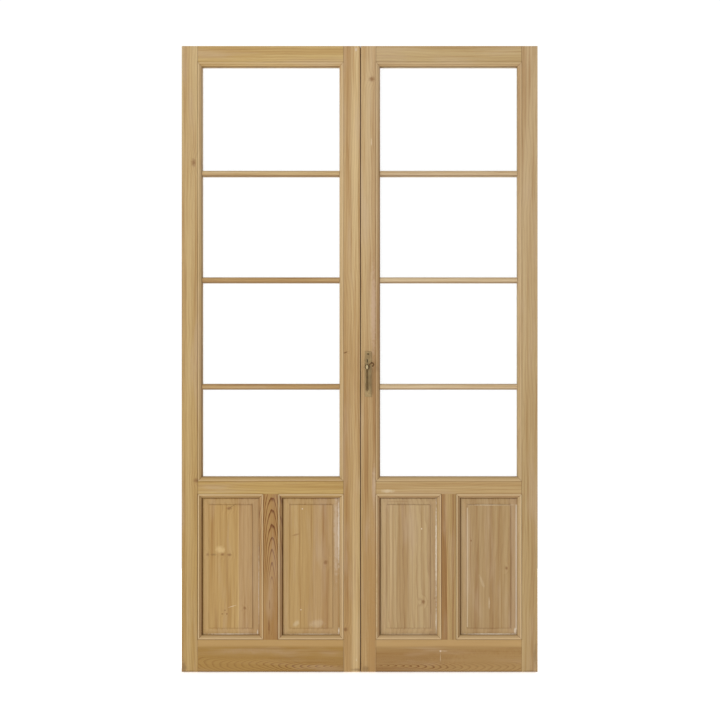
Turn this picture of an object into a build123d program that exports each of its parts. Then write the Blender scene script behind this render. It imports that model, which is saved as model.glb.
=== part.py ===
"""A pair of glazed and panelled doors in a slim frame, with pin hinges, a lever lock and bolts.

X runs to the viewer's right, Y away from the viewer, Z up.
The origin is on the floor, in the middle of the frame.
All lengths are in millimetres. The doors stand closed and their bolts are withdrawn.
"""
import os
from math import acos, cos, pi, radians, sin, sqrt, tan

from build123d import *

# Pair of leaves, seen from the front
pair_half_width = 625.5
leaf_bottom = 4.0
leaf_height = 2200.0
leaf_thickness = 42.0
meeting_line_x = 3.0
meeting_gap = 1.2
arris_radius = 1.8
strip_setback = 0.4

# Lip that closes over the face of the frame
lip_thickness = 18.0
lip_side = 21.0
lip_end = 20.0

# Faces of stiles, rails, muntin and bars
hinge_stile_flat = 55.5
meeting_stile_reach = 56.5
top_rail_flat = 56.0
lock_rail_bottom = 629.0
lock_rail_flat = 45.0
bottom_rail_flat = 113.0
muntin_flat = 52.0
bar_height = 20.4
bar_pitch_share = 0.260215
bar_count = 3

# Moulded edge of the members: a quirk, then a quarter round
sticking_width = 15.0
sticking_depth = 13.0
quirk_width = 1.2
quirk_depth = 1.6

# Glazing
rebate_width = 11.0
rebate_front = 18.0
glass_thickness = 4.0
pane_gap = 1.5
bead_depth = 12.0
mitre_gap = 0.2
bar_front = 9.0
bar_back = 38.0
bar_nose = 5.0
bar_web = 7.0
bar_round_depth = 6.0
bar_tenon = 9.0

# Fielded panels
groove_depth = 11.0
groove_front = 15.5
groove_width = 10.4
tongue_clearance = 0.2
panel_gap = 1.5
field_margin = 23.5
margin_rise = 4.5
field_step = 2.0

# Mortise and tenon joints
tenon_front = 15.0
tenon_thickness = 12.0
tenon_length = 26.0
tenon_inset = 10.0
muntin_tenon = 20.0
joint_clearance = 0.15

# Frame
frame_depth = 64.0
frame_setback = 0.5
lip_gap = 3.0
edge_gap = 3.0
stop_gap = 1.5
stop_lap = 27.0
threshold_lap = 10.0
frame_tenon = 14.0
frame_tenon_thickness = 16.0
frame_tenon_inset = 8.0
fixing_radius = 4.0
fixing_spacing = 1800.0
fixing_depth_share = 0.45

# Pin hinges
hinge_count = 3
hinge_end_offset = 230.0
hinge_inset = 5.5
hinge_depth = 12.5
barrel_radius = 5.0
barrel_facets = 12
barrel_length = 44.0
barrel_gap = 0.4
pin_radius = 3.0
pin_reach = 38.0
running_clearance = 0.05
hinge_play = 1.0
flap_thickness = 2.0
flap_width = 13.0
flap_edge = 1.5
flap_web = 3.0

# Bolt rods, their groove and the strips that close it
rod_size = 7.0
rod_depth = 30.0
rod_gap = 1.0
rod_play = 0.4
rod_setback = 1.0
keeper_depth = 13.0
strip_thickness = 2.0
strip_width = 18.0
flush_bolt_length = 130.0
flush_plate_length = 150.0
thumb_size = 12.0
thumb_width = 5.0
thumb_offset = 104.0
thumb_setback = 0.3

# Gear case and pinion
spindle_x = 27.0
spindle_z = 1076.0
gear_module = 1.5
gear_teeth = 12
flank_points = 3
pressure_angle = radians(20)
rack_addendum_share = 0.66
pinion_dedendum_share = 0.85
backlash = 0.2
tooth_clearance = 0.4
rack_back = 5.0
rack_spare = 4.0
jog_height = 8.0
jog_clear = 4.0
case_thickness = 16.0
case_wall = 1.0
case_end = 10.0
hub_radius = 6.0
spindle_size = 7.0
spindle_hole_play = 0.5

# Lock plate
plate_x = 30.0
plate_z = 1050.6
plate_width = 23.4
plate_height = 159.0
plate_thickness = 3.0
plate_chamfer = 0.8
spindle_hole_radius = 5.5
keyhole_z = 1101.0
keyhole_radius = 1.95
keyhole_slot = 2.6
keyhole_length = 10.0

# Lever handle
lever_length = 85.0
collar_radius = 9.0
collar_height = 5.0
collar_gap = 0.3
neck_radius = 5.6
neck_height = 13.0
boss_size = 10.4
grip_half_widths = (5.0, 3.6, 3.4, 4.6, 4.7, 2.5)
grip_half_depth = 3.8
grip_shares = (0.0, 0.2, 0.45, 0.8, 0.93, 1.0)
curl_x = 43.4
curl_z = 1084.0
curl_radius = 5.6
curl_half = 2.1
curl_start = radians(115)
curl_sweep = radians(285)
curl_facets = 10

overrun = 5.0

# Places that follow from the sizes above
leaf_top = leaf_bottom + leaf_height
leaf_front = -(frame_depth / 2 + lip_gap + lip_thickness)
leaf_back = leaf_front + leaf_thickness
lip_back = leaf_front + lip_thickness
body_top = leaf_top - lip_end
body_bottom = leaf_bottom + lip_end
body_side = pair_half_width - lip_side
frame_front = -frame_depth / 2
frame_back = frame_depth / 2
stop_face = leaf_back + stop_gap
hinge_flat_x = pair_half_width - hinge_stile_flat
sight_outer = hinge_flat_x - sticking_width
sight_inner = meeting_stile_reach + sticking_width
muntin_x = (sight_outer + sight_inner) / 2
muntin_half = muntin_flat / 2
top_flat_z = leaf_top - top_rail_flat
lock_top_z = lock_rail_bottom + lock_rail_flat
bottom_flat_z = leaf_bottom + bottom_rail_flat
glass_zone = (lock_top_z + sticking_width, top_flat_z - sticking_width)
panel_zone = (bottom_flat_z + sticking_width, lock_rail_bottom - sticking_width)
panel_spans = (
    (sight_inner, muntin_x - muntin_half - sticking_width),
    (muntin_x + muntin_half + sticking_width, sight_outer),
)
bar_pitch = (glass_zone[1] - glass_zone[0]) * bar_pitch_share
bar_heights = [glass_zone[1] - bar_pitch * (k + 1) for k in range(bar_count)]
tenon_spans = (
    (body_bottom + tenon_inset, bottom_flat_z - tenon_inset),
    (lock_rail_bottom + tenon_inset, lock_top_z - tenon_inset),
    (top_flat_z + tenon_inset, body_top - tenon_inset),
)
rebate_wall = sticking_width - rebate_width
groove_wall = sticking_width - groove_depth
round_share = sqrt(0.5)
hinge_x = pair_half_width - hinge_inset
hinge_y = leaf_front + hinge_depth
hinge_step = (leaf_height - 2 * hinge_end_offset) / (hinge_count - 1)
hinge_heights = [leaf_bottom + hinge_end_offset + hinge_step * k for k in range(hinge_count)]
hinge_reach = barrel_length + barrel_gap / 2 + hinge_play
jamb_outer = pair_half_width - frame_setback
jamb_web = body_side + edge_gap
jamb_stop = body_side - stop_lap
head_web = body_top + edge_gap
head_stop = body_top - stop_lap
head_top = leaf_top - frame_setback
sill_web = body_bottom - edge_gap
sill_stop = body_bottom + threshold_lap
fixing_y = stop_face + (frame_back - stop_face) * fixing_depth_share
fixing_z = (sill_stop + head_stop) / 2
rod_y = leaf_front + rod_depth
pitch_radius = gear_module * gear_teeth / 2
travel = pitch_radius * pi / 2
pinion_tip = pitch_radius + gear_module
pinion_root = pitch_radius - gear_module * pinion_dedendum_share
rack_tip = pitch_radius - gear_module * rack_addendum_share
rack_root = pinion_tip + tooth_clearance
tooth_pitch = pi * gear_module
plate_front = leaf_front - plate_thickness
grip_y = plate_front - collar_gap - collar_height - neck_height


def block(x_a, x_b, y_a, y_b, z_a, z_b, mode=Mode.ADD):
    """A box between two limits on each axis, given in either order."""
    with Locations(((x_a + x_b) / 2, (y_a + y_b) / 2, (z_a + z_b) / 2)):
        Box(abs(x_b - x_a), abs(y_b - y_a), abs(z_b - z_a), mode=mode)


def slab(points, y_near, y_far):
    """A face drawn in X and Z, made solid between two depths."""
    with BuildSketch(Plane.XZ.offset(-y_far)) as face:
        with BuildLine():
            Polyline(*points, close=True)
        make_face()
    extrude(face.sketch, amount=y_far - y_near)


def rod(x, y_near, y_far, z, radius, mode=Mode.ADD):
    """A round bar that runs from front to back."""
    with BuildSketch(Plane.XZ.offset(-y_far)) as end:
        with Locations((x, z)):
            Circle(radius)
    extrude(end.sketch, amount=y_far - y_near, mode=mode)


def post(x, y, z_low, z_high, radius, mode=Mode.ADD):
    """A round bar that stands upright."""
    with BuildSketch(Plane.XY.offset(z_low)) as end:
        with Locations((x, y)):
            Circle(radius)
    extrude(end.sketch, amount=z_high - z_low, mode=mode)


def barrel(x, y, z_low, z_high):
    """A hinge barrel, filed to flats all round."""
    with BuildSketch(Plane.XY.offset(z_low)) as end:
        with Locations((x, y)):
            RegularPolygon(barrel_radius, barrel_facets)
    extrude(end.sketch, amount=z_high - z_low)


def upright_strip(x_edge, toward, zone):
    """The moulded strip beside an upright flat edge, with both ends mitred."""
    x_sight = x_edge + toward * sticking_width
    low, high = zone
    return (
        (x_edge, low - sticking_width),
        (x_sight, low),
        (x_sight, high),
        (x_edge, high + sticking_width),
    )


def level_strip(z_edge, toward, span):
    """The moulded strip beside a level flat edge, with both ends mitred."""
    z_sight = z_edge + toward * sticking_width
    near, far = min(span), max(span)
    return (
        (near - sticking_width, z_edge),
        (near, z_sight),
        (far, z_sight),
        (far + sticking_width, z_edge),
    )


def sticking_waste(place):
    """Outline of what the moulding cutter takes off.

    place turns a distance from the flat edge and a depth into a point."""
    reach = sticking_width - quirk_width
    drop = sticking_depth - quirk_depth
    middle = place(quirk_width + reach * round_share, sticking_depth - drop * round_share)
    with BuildLine() as outline:
        Polyline(
            place(sticking_width, sticking_depth),
            place(sticking_width + overrun, sticking_depth),
            place(sticking_width + overrun, -overrun),
            place(0, -overrun),
            place(0, quirk_depth),
            place(quirk_width, quirk_depth),
        )
        ThreePointArc(place(quirk_width, quirk_depth), middle, place(sticking_width, sticking_depth))
    return outline.line


def stick_upright(x_edge, toward, zone):
    """Works the moulding along an upright edge."""
    low, high = zone[0] - sticking_width, zone[1] + sticking_width
    outline = sticking_waste(lambda u, v: (x_edge + toward * u, leaf_front + v))
    with BuildSketch(Plane.XY.offset(low)) as waste:
        make_face(outline)
    extrude(waste.sketch, amount=high - low, mode=Mode.SUBTRACT)


def stick_level(z_edge, toward, span):
    """Works the moulding along a level edge."""
    near, far = min(span) - sticking_width, max(span) + sticking_width
    outline = sticking_waste(lambda u, v: (leaf_front + v, z_edge + toward * u))
    with BuildSketch(Plane.YZ.offset(near)) as waste:
        make_face(outline)
    extrude(waste.sketch, amount=far - near, mode=Mode.SUBTRACT)


def upright_edge(x_edge, toward, zone, wall, front, back):
    """Cuts a rebate or a groove along an upright edge, from its inner wall out past the sight line."""
    block(
        x_edge + toward * wall,
        x_edge + toward * (sticking_width + overrun),
        leaf_front + front,
        leaf_front + back,
        zone[0] - sticking_width,
        zone[1] + sticking_width,
        Mode.SUBTRACT,
    )


def level_edge(z_edge, toward, span, wall, front, back):
    """Cuts a rebate or a groove along a level edge, from its inner wall out past the sight line."""
    block(
        min(span) - sticking_width,
        max(span) + sticking_width,
        leaf_front + front,
        leaf_front + back,
        z_edge + toward * wall,
        z_edge + toward * (sticking_width + overrun),
        Mode.SUBTRACT,
    )


def save(part, name):
    """Labels a finished piece and writes its file."""
    part.label = name
    export_step(part, f"parts/{name}.step")


glass_rebate = (rebate_wall, rebate_front, leaf_thickness + overrun)
panel_groove = (groove_wall, groove_front, groove_front + groove_width)
tenon_near = leaf_front + tenon_front
tenon_far = tenon_near + tenon_thickness
web_near = leaf_front + rebate_front
web_far = leaf_front + bar_back


def edge_x(side):
    """Distance of a leaf's meeting edge from the middle, counted outwards."""
    return side * meeting_line_x + meeting_gap / 2


def strip_x(side):
    """Outer face of the metal strip or plate that is sunk in a meeting edge."""
    return edge_x(side) + strip_setback


def rod_x(side):
    """Near side of a rod or bolt in a meeting stile."""
    return strip_x(side) + strip_thickness + case_wall + rod_play


def rod_groove(side, z_low, z_high):
    """Cuts the groove of a rod or bolt, open to the meeting edge."""
    block(
        side * strip_x(side),
        side * (rod_x(side) + rod_size + rod_gap),
        rod_y - rod_size / 2 - rod_gap,
        rod_y + rod_size / 2 + rod_gap,
        z_low,
        z_high,
        Mode.SUBTRACT,
    )


def strip_sinking(side, z_low, z_high):
    """Cuts the shallow bed of a strip or plate in a meeting edge."""
    block(
        side * (edge_x(side) - overrun),
        side * (strip_x(side) + strip_thickness),
        rod_y - strip_width / 2,
        rod_y + strip_width / 2,
        z_low,
        z_high,
        Mode.SUBTRACT,
    )


# Rack and pinion sizes that the meeting stile's pocket needs
lower_rack = (spindle_z - rack_spare, spindle_z + travel + rack_spare)
upper_rack = (spindle_z - travel - rack_spare, spindle_z + rack_spare)
jog_z = lower_rack[1] + jog_clear
case_low = upper_rack[0] - case_end
case_high = jog_z + jog_height + travel + rod_gap + case_wall
case_near_x = strip_x(1) + strip_thickness
case_far_x = spindle_x + rack_root + rack_back + rod_play + case_wall
case_front = rod_y - case_thickness / 2
case_back = rod_y + case_thickness / 2
flush_spans = {
    "bottom": (body_bottom, body_bottom + flush_plate_length),
    "top": (body_top - flush_plate_length, body_top),
}
flush_bolts = {
    "bottom": (body_bottom + rod_setback, body_bottom + rod_setback + flush_bolt_length),
    "top": (body_top - rod_setback - flush_bolt_length, body_top - rod_setback),
}

# Leaves: the same members on both hands, with the lock in the right and flush bolts in the left
for side, hand in ((-1, "left"), (1, "right")):
    x_hinge = side * hinge_flat_x
    x_meet = side * meeting_stile_reach
    x_edge = side * edge_x(side)
    spans = [tuple(side * x for x in span) for span in panel_spans]
    glass_span = (side * sight_inner, side * sight_outer)

    # Hinge stile: moulded on its inner edge, lipped on its outer edge, notched for the hinge barrels
    with BuildPart() as hinge_stile:
        block(x_hinge, side * pair_half_width, leaf_front, leaf_back, leaf_bottom, leaf_top)
        for zone in (glass_zone, panel_zone):
            slab(upright_strip(x_hinge, -side, zone), leaf_front, leaf_back)
            stick_upright(x_hinge, -side, zone)
        upright_edge(x_hinge, -side, glass_zone, *glass_rebate)
        upright_edge(x_hinge, -side, panel_zone, *panel_groove)
        lip_cut = (lip_back, leaf_back + overrun)
        past = side * (pair_half_width + overrun)
        block(side * body_side, past, *lip_cut, leaf_bottom - overrun, leaf_top + overrun, Mode.SUBTRACT)
        inside = x_hinge - side * overrun
        block(inside, past, *lip_cut, leaf_bottom - overrun, body_bottom, Mode.SUBTRACT)
        block(inside, past, *lip_cut, body_top, leaf_top + overrun, Mode.SUBTRACT)
        for low, high in tenon_spans:
            block(
                x_hinge - side * sticking_width,
                x_hinge + side * (tenon_length + joint_clearance),
                tenon_near - joint_clearance,
                tenon_far + joint_clearance,
                low - joint_clearance,
                high + joint_clearance,
                Mode.SUBTRACT,
            )
        for z in bar_heights:
            block(
                x_hinge - side * rebate_wall,
                x_hinge + side * (bar_tenon - rebate_wall + joint_clearance),
                web_near,
                web_far + joint_clearance,
                z - bar_web / 2 - joint_clearance,
                z + bar_web / 2 + joint_clearance,
                Mode.SUBTRACT,
            )
        for z in hinge_heights:
            block(
                side * (hinge_x - barrel_radius - hinge_play),
                past,
                hinge_y - barrel_radius - hinge_play,
                lip_back + overrun,
                z - hinge_reach,
                z + hinge_reach,
                Mode.SUBTRACT,
            )
            block(
                side * (hinge_x - flap_width),
                side * hinge_x,
                lip_back - flap_thickness,
                lip_back + lip_gap,
                z + barrel_gap / 2,
                z + barrel_gap / 2 + barrel_length,
                Mode.SUBTRACT,
            )
    save(hinge_stile.part, f"{hand}_hinge_stile")

    # Meeting stile: moulded on its inner edge, eased along its meeting edge
    with BuildPart() as meeting_stile:
        block(x_edge, x_meet, leaf_front, leaf_back, leaf_bottom, leaf_top)
        for zone in (glass_zone, panel_zone):
            slab(upright_strip(x_meet, side, zone), leaf_front, leaf_back)
            stick_upright(x_meet, side, zone)
        upright_edge(x_meet, side, glass_zone, *glass_rebate)
        upright_edge(x_meet, side, panel_zone, *panel_groove)
        lip_cut = (lip_back, leaf_back + overrun)
        across = (x_edge - side * overrun, x_meet + side * overrun)
        block(*across, *lip_cut, leaf_bottom - overrun, body_bottom, Mode.SUBTRACT)
        block(*across, *lip_cut, body_top, leaf_top + overrun, Mode.SUBTRACT)
        for low, high in tenon_spans:
            block(
                x_meet + side * sticking_width,
                x_meet - side * (tenon_length + joint_clearance),
                tenon_near - joint_clearance,
                tenon_far + joint_clearance,
                low - joint_clearance,
                high + joint_clearance,
                Mode.SUBTRACT,
            )
        for z in bar_heights:
            block(
                x_meet + side * rebate_wall,
                x_meet - side * (bar_tenon - rebate_wall + joint_clearance),
                web_near,
                web_far + joint_clearance,
                z - bar_web / 2 - joint_clearance,
                z + bar_web / 2 + joint_clearance,
                Mode.SUBTRACT,
            )
        with BuildSketch(Plane.XY.offset(leaf_bottom)) as arris:
            with BuildLine():
                corner = (x_edge, leaf_front)
                on_face = (x_edge + side * arris_radius, leaf_front)
                on_edge = (x_edge, leaf_front + arris_radius)
                bulge = arris_radius * (1 - round_share)
                Line(corner, on_face)
                ThreePointArc(on_face, (x_edge + side * bulge, leaf_front + bulge), on_edge)
                Line(on_edge, corner)
            make_face()
        extrude(arris.sketch, amount=leaf_height, mode=Mode.SUBTRACT)
        if hand == "right":
            strip_sinking(side, body_bottom - overrun, body_top + overrun)
            rod_groove(side, body_bottom - overrun, body_top + overrun)
            block(case_near_x, case_far_x, case_front, case_back, case_low, case_high, Mode.SUBTRACT)
            half = hub_radius + spindle_hole_play
            mortise = (spindle_x - half, spindle_x + half, leaf_front, case_front)
            block(*mortise, spindle_z - half, keyhole_z + half, Mode.SUBTRACT)
        else:
            for end in flush_spans:
                strip_sinking(side, *flush_spans[end])
                rod_groove(side, flush_bolts[end][0] - travel, flush_bolts[end][1] + travel)
    save(meeting_stile.part, f"{hand}_meeting_stile")

    # Rails: square shoulders against the stiles, tenons at both ends, mitred moulding
    rail_faces = {
        "bottom": (leaf_bottom, bottom_flat_z),
        "lock": (lock_rail_bottom, lock_top_z),
        "top": (top_flat_z, leaf_top),
    }
    rail_edges = {
        "bottom": [(bottom_flat_z, 1, span, panel_groove) for span in spans],
        "lock": [(lock_rail_bottom, -1, span, panel_groove) for span in spans]
        + [(lock_top_z, 1, glass_span, glass_rebate)],
        "top": [(top_flat_z, -1, glass_span, glass_rebate)],
    }
    for number, rail_name in enumerate(rail_faces):
        with BuildPart() as rail:
            block(x_hinge, x_meet, leaf_front, leaf_back, *rail_faces[rail_name])
            for z_edge, toward, span, cut in rail_edges[rail_name]:
                slab(level_strip(z_edge, toward, span), leaf_front, leaf_back)
                stick_level(z_edge, toward, span)
                level_edge(z_edge, toward, span, *cut)
            ends = (x_hinge + side * overrun, x_meet - side * overrun)
            if rail_name == "bottom":
                below = (leaf_bottom - overrun, body_bottom)
                block(*ends, lip_back, leaf_back + overrun, *below, Mode.SUBTRACT)
            if rail_name == "top":
                above = (body_top, leaf_top + overrun)
                block(*ends, lip_back, leaf_back + overrun, *above, Mode.SUBTRACT)
            low, high = tenon_spans[number]
            block(x_hinge, x_hinge + side * tenon_length, tenon_near, tenon_far, low, high)
            block(x_meet, x_meet - side * tenon_length, tenon_near, tenon_far, low, high)
            if rail_name != "top":
                into = -1 if rail_name == "bottom" else 1
                z_face = bottom_flat_z if rail_name == "bottom" else lock_rail_bottom
                wide = muntin_half - tenon_inset + joint_clearance
                block(
                    side * (muntin_x - wide),
                    side * (muntin_x + wide),
                    tenon_near - joint_clearance,
                    tenon_far + joint_clearance,
                    z_face,
                    z_face + into * (muntin_tenon + joint_clearance),
                    Mode.SUBTRACT,
                )
        save(rail.part, f"{hand}_{rail_name}_rail")

    # Muntin: stands between lock rail and bottom rail, moulded and grooved on both edges
    with BuildPart() as muntin:
        near = side * (muntin_x - muntin_half)
        far = side * (muntin_x + muntin_half)
        block(near, far, leaf_front, leaf_back, bottom_flat_z, lock_rail_bottom)
        for x_side, toward in ((near, -side), (far, side)):
            slab(upright_strip(x_side, toward, panel_zone), leaf_front, leaf_back)
            stick_upright(x_side, toward, panel_zone)
            upright_edge(x_side, toward, panel_zone, *panel_groove)
        narrow = muntin_half - tenon_inset
        block(
            side * (muntin_x - narrow),
            side * (muntin_x + narrow),
            tenon_near,
            tenon_far,
            bottom_flat_z - muntin_tenon,
            lock_rail_bottom + muntin_tenon,
        )
    save(muntin.part, f"{hand}_muntin")

    # Fielded panels: a tongue in the grooves, a sloped margin, a small step, a flat field
    for span, place in zip(spans, ("inner", "outer")):
        with BuildPart() as panel:
            wide = abs(span[1] - span[0])
            tall = panel_zone[1] - panel_zone[0]
            centre = ((span[0] + span[1]) / 2, (panel_zone[0] + panel_zone[1]) / 2)
            tongue_near = leaf_front + groove_front + tongue_clearance
            tongue_far = leaf_front + groove_front + groove_width - tongue_clearance
            grow = groove_depth - panel_gap
            block(
                centre[0] - wide / 2 - grow,
                centre[0] + wide / 2 + grow,
                tongue_near,
                tongue_far,
                panel_zone[0] - grow,
                panel_zone[1] + grow,
            )
            with BuildSketch(Plane.XZ.offset(-tongue_near)) as margin_foot:
                with Locations(centre):
                    Rectangle(wide, tall)
            with BuildSketch(Plane.XZ.offset(margin_rise - tongue_near)) as margin_head:
                with Locations(centre):
                    Rectangle(wide - 2 * field_margin, tall - 2 * field_margin)
            loft([margin_foot.sketch.face(), margin_head.sketch.face()])
            extrude(margin_head.sketch, amount=field_step)
        save(panel.part, f"{hand}_{place}_panel")

    # Glazing bars: a rounded nose between the stiles, a web between the panes, stub tenons in the stiles
    for number, z in enumerate(bar_heights):
        with BuildPart() as bar:
            near, far = min(glass_span), max(glass_span)
            with BuildSketch(Plane.YZ.offset(near)) as nose:
                with BuildLine():
                    front = leaf_front + bar_front
                    round_back = front + bar_round_depth
                    half = bar_height / 2
                    tip = bar_nose / 2
                    swell = tip + (half - tip) * round_share
                    swell_y = round_back - bar_round_depth * round_share
                    Line((front, z - tip), (front, z + tip))
                    ThreePointArc((front, z + tip), (swell_y, z + swell), (round_back, z + half))
                    Polyline(
                        (round_back, z + half),
                        (web_near, z + half),
                        (web_near, z - half),
                        (round_back, z - half),
                    )
                    ThreePointArc((round_back, z - half), (swell_y, z - swell), (front, z - tip))
                make_face()
            extrude(nose.sketch, amount=far - near)
            reach = rebate_width + bar_tenon - rebate_wall
            block(near - reach, far + reach, web_near, web_far, z - bar_web / 2, z + bar_web / 2)
        save(bar.part, f"{hand}_glazing_bar_{number + 1}")

    # Panes, and the mitred beads that hold them from the back
    levels = [glass_zone[1]] + bar_heights + [glass_zone[0]]
    bead_rings = []
    for number in range(bar_count + 1):
        is_top = number == 0
        is_bottom = number == bar_count
        seat_top = levels[number] + rebate_width if is_top else levels[number] - bar_web / 2
        seat_bottom = levels[number + 1] - rebate_width if is_bottom else levels[number + 1] + bar_web / 2
        sight_top = levels[number] if is_top else levels[number] - bar_height / 2
        sight_bottom = levels[number + 1] if is_bottom else levels[number + 1] + bar_height / 2
        near, far = min(glass_span), max(glass_span)
        bead_rings.append(
            (
                (near - rebate_width, far + rebate_width, seat_bottom, seat_top),
                (near, far, sight_bottom, sight_top),
            )
        )
        with BuildPart() as pane:
            block(
                near - rebate_width + pane_gap,
                far + rebate_width - pane_gap,
                web_near,
                web_near + glass_thickness,
                seat_bottom + pane_gap,
                seat_top - pane_gap,
            )
        save(pane.part, f"{hand}_pane_{number + 1}")
    with BuildPart() as beads:
        bead_near = web_near + glass_thickness
        bead_far = bead_near + bead_depth
        cut = mitre_gap / 2
        for (x_a, x_b, z_a, z_b), (s_a, s_b, t_a, t_b) in bead_rings:
            for x, s in ((x_a, s_a), (x_b, s_b)):
                slab(((x, z_a + cut), (s, t_a + cut), (s, t_b - cut), (x, z_b - cut)), bead_near, bead_far)
            for z, t in ((z_a, t_a), (z_b, t_b)):
                slab(((x_a + cut, z), (s_a + cut, t), (s_b - cut, t), (x_b - cut, z)), bead_near, bead_far)
    save(beads.part, f"{hand}_glazing_beads")

    # Pin hinges: the frame halves carry the pins, and the leaf halves turn on them
    x = side * hinge_x
    with BuildPart() as frame_halves:
        for z in hinge_heights:
            top = z - barrel_gap / 2
            foot = top - barrel_length
            barrel(x, hinge_y, foot, top)
            post(x, hinge_y, top, top + pin_reach, pin_radius)
            web_half = flap_web / 2
            flap_back = frame_front + flap_thickness
            block(x - web_half, x + web_half, hinge_y, flap_back, foot, top)
            flap_out = side * (jamb_outer - flap_edge)
            block(flap_out, flap_out - side * flap_width, frame_front, flap_back, foot, top)
    save(frame_halves.part, f"{hand}_hinge_frame_halves")
    with BuildPart() as leaf_halves:
        for z in hinge_heights:
            foot = z + barrel_gap / 2
            top = foot + barrel_length
            barrel(x, hinge_y, foot, top)
            block(side * (hinge_x - flap_width), x, lip_back - flap_thickness, lip_back, foot, top)
            bore_top = z - barrel_gap / 2 + pin_reach + hinge_play
            post(x, hinge_y, foot - overrun, bore_top, pin_radius + running_clearance, Mode.SUBTRACT)
    save(leaf_halves.part, f"{hand}_hinge_leaf_halves")

# Left leaf: flush bolts behind plates sunk in the meeting edge
for end in flush_spans:
    side = -1
    low, high = flush_bolts[end]
    thumb_z = (high - thumb_offset) if end == "top" else (low + thumb_offset)
    near = side * rod_x(side)
    far = side * (rod_x(side) + rod_size)
    face = side * strip_x(side)
    with BuildPart() as flush_plate:
        plate_back = side * (strip_x(side) + strip_thickness)
        block(face, plate_back, rod_y - strip_width / 2, rod_y + strip_width / 2, *flush_spans[end])
        slot_half = thumb_width / 2 + rod_play
        slot_low = thumb_z - thumb_size / 2 - rod_play - (travel if end == "bottom" else 0)
        slot_high = thumb_z + thumb_size / 2 + rod_play + (travel if end == "top" else 0)
        block(
            face - side * overrun,
            plate_back + side * overrun,
            rod_y - slot_half,
            rod_y + slot_half,
            slot_low,
            slot_high,
            Mode.SUBTRACT,
        )
    save(flush_plate.part, f"left_{end}_flush_plate")
    with BuildPart() as flush_bolt:
        block(near, far, rod_y - rod_size / 2, rod_y + rod_size / 2, low, high)
        block(
            face + side * thumb_setback,
            near,
            rod_y - thumb_width / 2,
            rod_y + thumb_width / 2,
            thumb_z - thumb_size / 2,
            thumb_z + thumb_size / 2,
        )
    save(flush_bolt.part, f"left_{end}_flush_bolt")

# Right leaf: strip over the rods' groove
with BuildPart() as edge_strip:
    face = strip_x(1)
    strip_half = strip_width / 2
    block(face, face + strip_thickness, rod_y - strip_half, rod_y + strip_half, body_bottom, body_top)
save(edge_strip.part, "right_edge_strip")

# Right leaf: gear case, open at both ends for the rods, bored in front for the pinion's hub
with BuildPart() as gear_case:
    block(case_near_x, case_far_x, case_front, case_back, case_low, case_high)
    block(
        case_near_x + case_wall,
        case_far_x - case_wall,
        case_front + case_wall,
        case_back - case_wall,
        case_low + case_wall,
        case_high - case_wall,
        Mode.SUBTRACT,
    )
    block(
        rod_x(1) - rod_play,
        rod_x(1) + rod_size + rod_play,
        rod_y - rod_size / 2 - rod_play,
        rod_y + rod_size / 2 + rod_play,
        case_low - overrun,
        case_high + overrun,
        Mode.SUBTRACT,
    )
    bore_radius = hub_radius + running_clearance
    front_wall = (case_front - overrun, case_front + case_wall)
    rod(spindle_x, *front_wall, spindle_z, bore_radius, Mode.SUBTRACT)
    key_half = keyhole_slot / 2
    key_low = keyhole_z - keyhole_length
    block(spindle_x - key_half, spindle_x + key_half, *front_wall, key_low, keyhole_z, Mode.SUBTRACT)
save(gear_case.part, "right_gear_case")

# Lock plate on the face of the right meeting stile
with BuildPart() as lock_plate:
    with BuildSketch(Plane.XZ.offset(-leaf_front)):
        with Locations((plate_x, plate_z)):
            Rectangle(plate_width, plate_height)
    extrude(amount=plate_thickness)
    front_edges = lock_plate.faces().sort_by(Axis.Y)[0].edges()
    chamfer(front_edges, plate_chamfer)
    through = (plate_front - overrun, leaf_front + overrun)
    rod(spindle_x, *through, spindle_z, spindle_hole_radius, Mode.SUBTRACT)
    rod(spindle_x, *through, keyhole_z, keyhole_radius, Mode.SUBTRACT)
    block(spindle_x - key_half, spindle_x + key_half, *through, key_low, keyhole_z, Mode.SUBTRACT)
save(lock_plate.part, "right_lock_plate")


def involute_flank(count):
    """Points of one tooth flank, each a radius and half the tooth's angle there.

    That half angle is the one at the pitch circle, plus the involute there, less the involute here."""
    base = pitch_radius * cos(pressure_angle)
    foot = max(base, pinion_root)
    pitch_half = (tooth_pitch / 2 - backlash) / (2 * pitch_radius)
    out = []
    for k in range(count):
        r = foot + (pinion_tip - foot) * k / (count - 1)
        angle = acos(min(1, base / r))
        out.append((r, pitch_half + (tan(pressure_angle) - pressure_angle) - (tan(angle) - angle)))
    return out


# Pinion: involute teeth between two racks, a round hub that runs in the case, a square eye for the spindle
with BuildPart() as pinion:
    flank = involute_flank(flank_points)
    outline = []
    for tooth in range(gear_teeth):
        middle = 2 * pi * tooth / gear_teeth
        rising = [(pinion_root, middle - flank[0][1])] + [(r, middle - a) for r, a in flank]
        falling = [(r, middle + a) for r, a in reversed(flank)] + [(pinion_root, middle + flank[0][1])]
        outline += [(spindle_x + r * cos(a), spindle_z + r * sin(a)) for r, a in rising + falling]
    slab(outline, rod_y - rod_size / 2, rod_y + rod_size / 2)
    rod(spindle_x, case_front, rod_y, spindle_z, hub_radius)
    block(
        spindle_x - spindle_size / 2,
        spindle_x + spindle_size / 2,
        case_front - overrun,
        case_back,
        spindle_z - spindle_size / 2,
        spindle_z + spindle_size / 2,
        Mode.SUBTRACT,
    )
save(pinion.part, "lock_pinion")


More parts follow.
